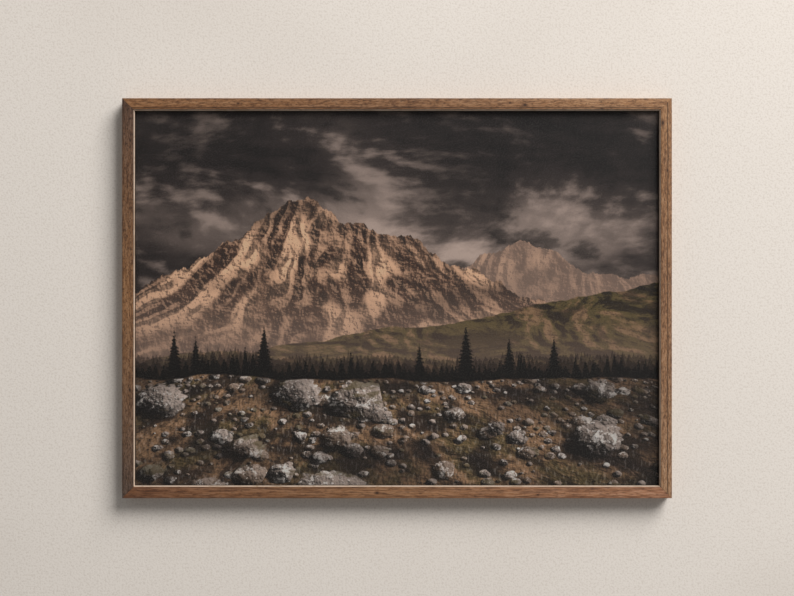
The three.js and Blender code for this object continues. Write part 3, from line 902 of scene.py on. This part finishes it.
        stones = lay_coats(self.tree, inks.rock_shade, [
            (lump, -0.7, 0.85, inks.rock_lit, 0.95),
            (chance["Green"], 0.2, 1.0, inks.umber, 0.35),
            (chance["Blue"], 0.4, 1.0, inks.grass, 0.35),
            (reliefs["rock"], 0.0, -0.12, inks.rock_shade, 0.6),
            (reliefs["grit"], 0.0, -0.13, inks.rock_shade, 0.5),
            (reliefs["grit"], 0.0, 0.13, inks.lichen, 0.2),
            (self.fields["lichen"], 0.55, 0.62, inks.lichen, 0.55),
            (self.fields["specks"], 0.62, 0.7, inks.lichen, 0.5),
            (self.fields["patches"], 0.56, 0.64, inks.moss, 0.7),
            (lump, 0.05, -0.9, inks.rock_shade, 0.85),
            (self.fields["light"], 0.5, 0.32, inks.rock_shade, 0.4),
        ])
        there = add("Math", {0: radius, 1: STONE_LEAST}, operation="GREATER_THAN")
        shown = add("Math", {0: there, 1: self.on_ground}, operation="MULTIPLY", use_clamp=True)
        self.paint_within(shadow, -0.04, 0.04, inks.rock_shade, 0.92, shown)
        self.paint_within(outline, -0.006, 0.012, stones, 1.0, shown)

    def film(self):
        """The contrast of the print, darker corners, as a lens leaves them, and the grain of the film."""
        middle = (1 / LIGHT_MIDDLE[0], 1 / LIGHT_MIDDLE[1], 0)
        radius = self.add("VectorMath", {0: self.sheet, 1: middle}, operation="MULTIPLY")
        reach = self.add("VectorMath", {0: radius}, operation="LENGTH").outputs["Value"]
        deep = self.add("Gamma", {"Color": self.picture, "Gamma": PRINT_CONTRAST})
        bright = self.add("VectorMath", {0: deep, 1: PRINT_GAIN}, operation="MULTIPLY")
        printed = self.add("VectorMath", {0: bright, 1: PAPER_WHITE}, operation="MINIMUM")
        self.picture = lay_coats(self.tree, printed, [
            (reach, 0.62, 1.25, self.inks.rock_shade, 0.4),
            (self.fields["film"], 0.45, 0.25, self.inks.rock_shade, 0.07),
            (self.fields["film"], 0.55, 0.75, self.inks.lichen, 0.03),
        ])


def printed_landscape(inks):
    """A satin photographic print: a storm over a craggy range, mossy hills, pines and a field of stones.

    The ink lies in the paper, so the sheet has one soft sheen all over.
    """
    material, tree, shader = new_material("Printed paper", Roughness=0.5, Specular_IOR_Level=0.3)
    painter = LandscapePainter(tree, inks)
    painter.sky()
    painter.mountain(160, 70, 0.30, 0.26, 66, 0.62, 31)
    painter.mountain(-120, 134, 0.55, 0.45, 84, 0.06, 5)
    painter.hills()
    painter.pine_row(4.6, -80, 11, 0.5, inks.umber, 40.0)
    painter.pine_row(6.0, -88, 17, 0.7, inks.umber, 57.3)
    painter.pine_row(8.5, -97, 25, 0.88, inks.pine, 74.6)
    painter.pine_row(12.0, -108, 38, 0.97, inks.pine, 91.9)
    painter.ground()
    painter.lone_pines(30, -100, 74, 12.4, 0.5)
    painter.stones(6.5, 3, 0.45, 0.6)
    painter.stones(16.0, 7, 0.5, 0.55)
    painter.stones(50.0, 14, 0.42, 0.5)
    painter.film()
    tree.links.new(painter.picture, shader.inputs["Base Color"])
    return material


def smooth_hardboard(settings):
    """Tempered hardboard, pressed from wood fibre: dark brown and smooth, with paler fibre flecks."""
    material, tree, shader = new_material("Hardboard", Roughness=0.62, Specular_IOR_Level=0.35)
    fields = noise_fields(tree, in_millimetres(tree), {
        "stain": (190, 190, 140, 4, 0.55, 0.4),
        "flecks": (5.5, 5.5, 3.2, 3, 0.7, 0.6),
        "fibres": (16, 16, 1.6, 3, 0.6, 1.2),
        "dust": (1.5, 1.5, 1.5, 2, 0.6, 0),
    })
    colour = lay_coats(tree, settings.hardboard, [
        (fields["stain"], 0.5, 0.28, linear("#5F412A"), 0.7),
        (fields["stain"], 0.52, 0.74, linear("#8F6A48"), 0.55),
        (fields["flecks"], 0.54, 0.7, linear("#A98660"), 0.6),
        (fields["flecks"], 0.46, 0.32, linear("#4B3220"), 0.55),
        (fields["fibres"], 0.58, 0.7, linear("#B4936C"), 0.45),
        (fields["dust"], 0.5, 0.3, linear("#5A3E29"), 0.35),
    ])
    finish_surface(tree, shader, colour, fields["flecks"], 0.25, 0.08 * MM)
    return material


def plated_steel(name, colour, dull, rough, scale):
    """Bright sheet steel: a grey mirror broken up by crystals or rolling marks and a little tarnish."""
    material, tree, shader = new_material(name, Metallic=1.0)
    fields = noise_fields(tree, in_millimetres(tree), {
        "tarnish": (7 * scale, 7 * scale, 7 * scale, 4, 0.6, 0.3),
        "rolling": (9 * scale, 1.2 * scale, 0.5 * scale, 3, 0.6, 0),
    })
    coated = lay_coats(tree, colour, [
        (fields["tarnish"], 0.5, 0.72, dull, 0.6),
        (fields["rolling"], 0.5, 0.3, dull, 0.35),
    ])
    vary_roughness(tree, shader, fields["tarnish"], rough - 0.08, rough + 0.14)
    finish_surface(tree, shader, coated, fields["rolling"], 0.2, 0.05 * MM)
    return material


def moulded_rubber(settings):
    """Soft moulded rubber: near black and matt, greyed where dust clings to it."""
    material, tree, shader = new_material("Moulded rubber", Specular_IOR_Level=0.35)
    fields = noise_fields(tree, in_millimetres(tree), {
        "dust": (2.6, 2.6, 2.6, 4, 0.7, 0.2),
        "skin": (0.5, 0.5, 0.5, 1, 0.5, 0),
    })
    colour = lay_coats(tree, settings.rubber, [(fields["dust"], 0.5, 0.72, linear("#5C5852"), 0.5)])
    vary_roughness(tree, shader, fields["dust"], 0.62, 0.85)
    finish_surface(tree, shader, colour, fields["skin"], 0.2, 0.06 * MM)
    return material


def plain_surface(name, colour, dark, grain, relief):
    """Matt paint on plaster or board: even, with the faint tooth that a roller leaves.

    It is open from behind, so a view from the other side still shows the frame's back.
    """
    material, tree, shader = new_material(name, Roughness=0.9, Specular_IOR_Level=0.1)
    fields = noise_fields(tree, in_millimetres(tree), {
        "tooth": (grain, grain, grain, 3, 0.6, 0),
        "drift": (520, 520, 520, 2, 0.5, 0),
    })
    painted = lay_coats(tree, colour, [
        (fields["tooth"], 0.56, 0.3, dark, 0.42),
        (fields["drift"], 0.5, 0.3, dark, 0.2),
    ])
    finish_surface(tree, shader, painted, fields["tooth"], 0.4, relief)
    behind = add_node(tree, "NewGeometry").outputs["Backfacing"]
    both = add_node(tree, "MixShader", {0: behind, 1: shader, 2: add_node(tree, "BsdfTransparent")})
    output = next(n for n in tree.nodes if n.type == "OUTPUT_MATERIAL")
    tree.links.new(both.outputs[0], output.inputs["Surface"])
    return material


# Operators

class FRAMEDPRINT_OT_rails(bpy.types.Operator):
    """Sweep the four mitred rails of stained oak"""

    bl_idname = "framed_print.rails"
    bl_label = "Rails"

    def execute(self, context):
        settings = context.scene.framed_print_wood
        edge = settings.arris
        section = [(u, d, 1.0) for u, d in arc((edge, edge), edge, 2, 3, 5)]
        section += [(FACE_WIDTH * 0.3, 0, 0.0), (FACE_WIDTH * 0.7, 0, 0.0)]
        section += [(u, d, 1.0) for u, d in arc((FACE_WIDTH - edge, edge), edge, 3, 4, 5)]
        section += [
            (FACE_WIDTH, LIP_THICKNESS, 0.0),
            (LAND_WIDTH, LIP_THICKNESS, 0.0),
            (LAND_WIDTH, RAIL_DEPTH, 0.0),
            (BACK_CHAMFER, RAIL_DEPTH, 0.0),
            (0, RAIL_DEPTH - BACK_CHAMFER, 0.0),
        ]
        for side in SIDES:
            mesh = sweep_mitred("oak_rail_" + side, side, section, 96, settings.mitre_gap, settings.wander)
            piece = add_object(mesh.name, mesh, stained_oak(side, settings))
            finish_piece(piece, "frame_wood", "rail_" + side)
        return {"FINISHED"}


class FRAMEDPRINT_OT_slips(bpy.types.Operator):
    """Sweep the pale slip that lies between the rails and the glass"""

    bl_idname = "framed_print.slips"
    bl_label = "Slips"

    def execute(self, context):
        settings = context.scene.framed_print_wood
        material = limed_wood(settings)
        nose = 0.18 * MM
        section = [
            (SLIP_OUTER, SLIP_BACK - SLIP_FLANGE, 0.0),
            (SLIP_WOOD, SLIP_BACK - SLIP_FLANGE, 0.0),
            (SLIP_WOOD, SLIP_FRONT + nose, 0.0),
            (SLIP_WOOD + nose / 3, SLIP_FRONT, 1.0),
            (SLIP_WOOD + SLIP_FLAT, SLIP_FRONT, 1.0),
            (SLIP_WOOD + SLIP_FLAT + nose / 2, SLIP_FRONT + nose, 1.0),
            (SLIP_SIGHT - nose / 2, SLIP_BACK - SLIP_NOSE - nose, 0.0),
            (SLIP_SIGHT, SLIP_BACK - SLIP_NOSE + nose, 0.0),
            (SLIP_SIGHT, SLIP_BACK, 0.0),
            (SLIP_OUTER, SLIP_BACK, 0.0),
        ]
        for side in SIDES:
            mesh = sweep_mitred(
                "limed_slip_" + side, side, section, 72, settings.mitre_gap / 2, settings.wander / 3)
            finish_piece(add_object(mesh.name, mesh, material), "slip_wood", "slip_" + side)
        return {"FINISHED"}


class FRAMEDPRINT_OT_sheets(bpy.types.Operator):
    """Finish the glass, the printed sheet and the backing board"""

    bl_idname = "framed_print.sheets"
    bl_label = "Glass, print and board"

    def execute(self, context):
        dress_node("glazing_sheet", picture_glass())
        dress_node("print_sheet", printed_landscape(context.scene.framed_print_inks))
        dress_node("backing_board", smooth_hardboard(context.scene.framed_print_back))
        return {"FINISHED"}


class FRAMEDPRINT_OT_fixings(bpy.types.Operator):
    """Set out the flexible points and the corner nails"""

    bl_idname = "framed_print.fixings"
    bl_label = "Points and nails"

    def execute(self, context):
        settings = context.scene.framed_print_back
        steel = plated_steel("Rolled spring steel", settings.steel, linear("#4C4D50"), 0.36, 1.0)
        places, names = [], []
        for side, (turn, length, _, count) in SIDES.items():
            for i in range(count):
                x, _, z = side_matrix(side) @ Vector(((i - (count - 1) / 2) * length / count, 0, 0))
                places.append((x, z, turn))
                names.append(f"board_point_{side}_{i + 1}")
        piece = set_out("flexible_points", self.point_mesh(), places, steel, math.radians(0.8), 7)
        finish_piece(piece, "spring_steel", *names)

        bottom = FRAME_TOP - FRAME_HEIGHT
        corners = {
            "top_left": (-FRAME_WIDTH / 2, FRAME_TOP, 0.0),
            "top_right": (FRAME_WIDTH / 2, FRAME_TOP, QUARTER_TURN),
            "bottom_right": (FRAME_WIDTH / 2, bottom, 2 * QUARTER_TURN),
            "bottom_left": (-FRAME_WIDTH / 2, bottom, -QUARTER_TURN),
        }
        piece = set_out("corner_nails", self.nail_mesh(), corners.values(), steel)
        finish_piece(piece, "spring_steel", *("mitre_nail_" + corner for corner in corners))
        return {"FINISHED"}

    @staticmethod
    def point_mesh():
        """A pointed tongue with a hole near its round end, bent down a little onto the board."""
        half = (POINT_HIGH.x - POINT_LOW.x) / 2
        tip = FRAME_TOP - POINT_HIGH.z
        end = FRAME_TOP - POINT_LOW.z
        shoulder = tip + 3.5 * MM
        middle = end - half
        straight = [shoulder, LAND_WIDTH, (LAND_WIDTH + middle) / 2]
        rim = [(0, -tip)]
        rim += [(half, -u) for u in straight]
        rim += arc((0, -middle), half, 0, -2, 16)
        rim += [(-half, -u) for u in reversed(straight)]
        hole = arc((0, -middle), 1.6 * MM, 0, 4, 16)[:-1]
        mesh = plate_mesh("point", rim, POINT_LOW.y, POINT_HIGH.y, [hole])
        bend = POINT_LOW.y - BOARD_HIGH.y - 0.02 * MM
        for vert in mesh.vertices:
            share = max(0.0, (-vert.co.z - LAND_WIDTH) / (end - LAND_WIDTH))
            vert.co.y -= bend * share ** 0.8
        return mesh

    @staticmethod
    def nail_mesh():
        """A folded strip driven flush with the back of the wood."""
        near = NAIL_LOW.x + FRAME_WIDTH / 2
        far = NAIL_HIGH.x + FRAME_WIDTH / 2
        thick = 0.6 * MM
        rim = [
            (near, -near), (near, -far), (near + thick, -far), (near + thick, -near - thick),
            (far, -near - thick), (far, -near),
        ]
        return plate_mesh("nail", rim, NAIL_LOW.y, RAIL_BACK_Y + 0.05 * MM)


class FRAMEDPRINT_OT_hanger(bpy.types.Operator):
    """Finish the toothed hanger and turn its two pins"""

    bl_idname = "framed_print.hanger"
    bl_label = "Hanger"

    def execute(self, context):
        settings = context.scene.framed_print_back
        zinc = plated_steel("Zinc-plated steel", settings.zinc, linear("#8D8B84"), 0.3, 0.7)
        dress_node("hanger_plate", zinc)
        radius = (PIN_HIGH.x - PIN_LOW.x) / 2
        shank = 0.7 * MM
        lip = 0.1 * MM
        dome = 0.3 * MM
        head = PIN_HIGH.y - lip - dome
        profile = [(0, PIN_LOW.y), (shank / 2, PIN_LOW.y + shank), (shank, PIN_LOW.y + 2.5 * shank)]
        profile += [(shank, head), (radius, head)]
        profile += domed_end(0, radius, head + lip, dome, 5)[:-1]
        profile.append((0, PIN_HIGH.y))
        places = pair_places(PIN_LOW, PIN_HIGH, 0.4, 0.0)
        piece = set_out("hanger_pins", lathe_mesh("pin", profile), places, zinc)
        finish_piece(piece, "zinc_plate", "hanger_pin_left", "hanger_pin_right")
        return {"FINISHED"}


class FRAMEDPRINT_OT_bumpers(bpy.types.Operator):
    """Turn the rubber bumpers that keep the lower corners off the wall"""

    bl_idname = "framed_print.bumpers"
    bl_label = "Bumpers"

    def execute(self, context):
        rubber = moulded_rubber(context.scene.framed_print_back)
        radius = (BUMPER_HIGH.x - BUMPER_LOW.x) / 2
        flat = 3.2 * MM
        skirt = 0.5 * MM
        rise = BUMPER_HIGH.y - RAIL_BACK_Y - skirt
        profile = [(0, RAIL_BACK_Y), (radius, RAIL_BACK_Y)]
        profile += domed_end(flat, radius, RAIL_BACK_Y + skirt, rise, 8)
        profile.append((0, BUMPER_HIGH.y))
        places = pair_places(BUMPER_LOW, BUMPER_HIGH, 0.0, 0.7)
        piece = set_out("rubber_bumpers", lathe_mesh("bumper", profile), places, rubber)
        finish_piece(piece, "bumper_rubber", "wall_bumper_left", "wall_bumper_right")
        return {"FINISHED"}


class FRAMEDPRINT_OT_stage(bpy.types.Operator):
    """Set up the camera, the lights, the wall and the floor"""

    bl_idname = "framed_print.stage"
    bl_label = "Stage"

    IMAGE_WIDTH = 794
    PIXELS_PER_METRE = 749.4
    SENSOR = 36.0
    CAMERA_ABOVE_MIDDLE = 0.27 * MM
    WALL_GAP = 0.3 * MM
    FLOOR_BELOW_MIDDLE = 1.4
    SEEN_AIR = 0.62
    KEY_PLACE = (2.71, -3.1, 3.67)
    KEY_SIZE = 3.2
    BACK_PLACE = (-1.6, 4, 1.8)
    BACK_SIZE = 3.5
    HALF_WIDTH = 3.5
    WALL_TOP = 1.6
    FLOOR_FRONT = -5

    def execute(self, context):
        scene = context.scene
        settings = scene.framed_print_stage
        scene.view_settings.view_transform = "Standard"
        self.add_camera(scene, settings)
        self.add_light("key_light", self.KEY_PLACE, self.KEY_SIZE, settings.key_power)
        self.add_light("back_light", self.BACK_PLACE, self.BACK_SIZE, settings.back_power)
        self.add_world(scene, settings)
        floor = FRAME_MIDDLE - self.FLOOR_BELOW_MIDDLE
        corner = (self.WALL_GAP, floor)
        plaster = plain_surface("Painted plaster", settings.wall_colour, linear("#C6BAAE"), 2.6, 0.4 * MM)
        wall = self.add_sheet("wall", corner, (self.WALL_GAP, self.WALL_TOP), plaster)
        wall.visible_shadow = False
        wall.visible_diffuse = False
        wall.visible_glossy = False
        board = plain_surface("Painted floor", settings.floor_colour, linear("#C6C0B6"), 6.0, 0.2 * MM)
        ground = self.add_sheet("floor", (self.FLOOR_FRONT, floor), corner, board)
        ground.visible_diffuse = False
        return {"FINISHED"}

    def add_camera(self, scene, settings):
        data = bpy.data.cameras.new("camera")
        data.sensor_width = self.SENSOR
        data.lens = self.SENSOR * self.PIXELS_PER_METRE * settings.camera_distance / self.IMAGE_WIDTH
        camera = bpy.data.objects.new("camera", data)
        camera.location = (
            0, FRONT_Y - settings.camera_distance, FRAME_MIDDLE + self.CAMERA_ABOVE_MIDDLE)
        camera.rotation_euler = (QUARTER_TURN, 0, 0)
        scene.collection.objects.link(camera)
        scene.camera = camera

    def add_light(self, name, offset, size, power):
        """A square soft light, placed and aimed from the frame's middle."""
        data = bpy.data.lights.new(name, "AREA")
        data.size = size
        data.energy = power
        data.color = (1, 1, 1)
        light = bpy.data.objects.new(name, data)
        light.location = Vector((0, 0, FRAME_MIDDLE)) + Vector(offset)
        light.rotation_euler = Vector(offset).to_track_quat("Z", "Y").to_euler()
        bpy.context.scene.collection.objects.link(light)

    def add_world(self, scene, settings):
        world = bpy.data.worlds.new("studio")
        world.use_nodes = True
        tree = world.node_tree
        tree.nodes.clear()
        seen = add_node(tree, "LightPath").outputs["Is Camera Ray"]
        strength = add_node(tree, "MapRange", {
            "Value": seen, "To Min": settings.fill, "To Max": self.SEEN_AIR})
        air = add_node(tree, "Background", {"Color": linear("#FFFFFF"), "Strength": strength})
        add_node(tree, "OutputWorld", {"Surface": air})
        scene.world = world

    def add_sheet(self, name, near, far, material):
        """A plain sheet from side to side, from one edge to another, each given as (y, z)."""
        side = self.HALF_WIDTH
        corners = [(-side, *near), (side, *near), (side, *far), (-side, *far)]
        mesh = bpy.data.meshes.new(name)
        mesh.from_pydata(corners, [], [(0, 1, 2, 3)])
        sheet = add_object(name, mesh, material)
        return sheet


class FRAMEDPRINT_PT_panel(bpy.types.Panel):
    """Lists what builds the framed print, in order."""

    bl_idname = "FRAMEDPRINT_PT_panel"
    bl_label = "Framed print"
    bl_space_type = "VIEW_3D"
    bl_region_type = "UI"
    bl_category = "Framed print"

    def draw(self, context):
        for operator in OPERATORS:
            self.layout.operator(operator.bl_idname)


SETTINGS = {
    "framed_print_wood": FrameSettings,
    "framed_print_inks": PrintSettings,
    "framed_print_back": BackSettings,
    "framed_print_stage": StageSettings,
}
OPERATORS = (
    FRAMEDPRINT_OT_rails,
    FRAMEDPRINT_OT_slips,
    FRAMEDPRINT_OT_sheets,
    FRAMEDPRINT_OT_fixings,
    FRAMEDPRINT_OT_hanger,
    FRAMEDPRINT_OT_bumpers,
    FRAMEDPRINT_OT_stage,
)


def register():
    for group in (*SETTINGS.values(), *OPERATORS, FRAMEDPRINT_PT_panel):
        bpy.utils.register_class(group)
    for name, group in SETTINGS.items():
        setattr(bpy.types.Scene, name, bpy.props.PointerProperty(type=group))


def unregister():
    for name in SETTINGS:
        delattr(bpy.types.Scene, name)
    for group in (FRAMEDPRINT_PT_panel, *reversed(OPERATORS), *SETTINGS.values()):
        bpy.utils.unregister_class(group)


def main():
    register()
    for operator in OPERATORS:
        family, name = operator.bl_idname.split(".")
        getattr(getattr(bpy.ops, family), name)()


if __name__ == "__main__":
    main()
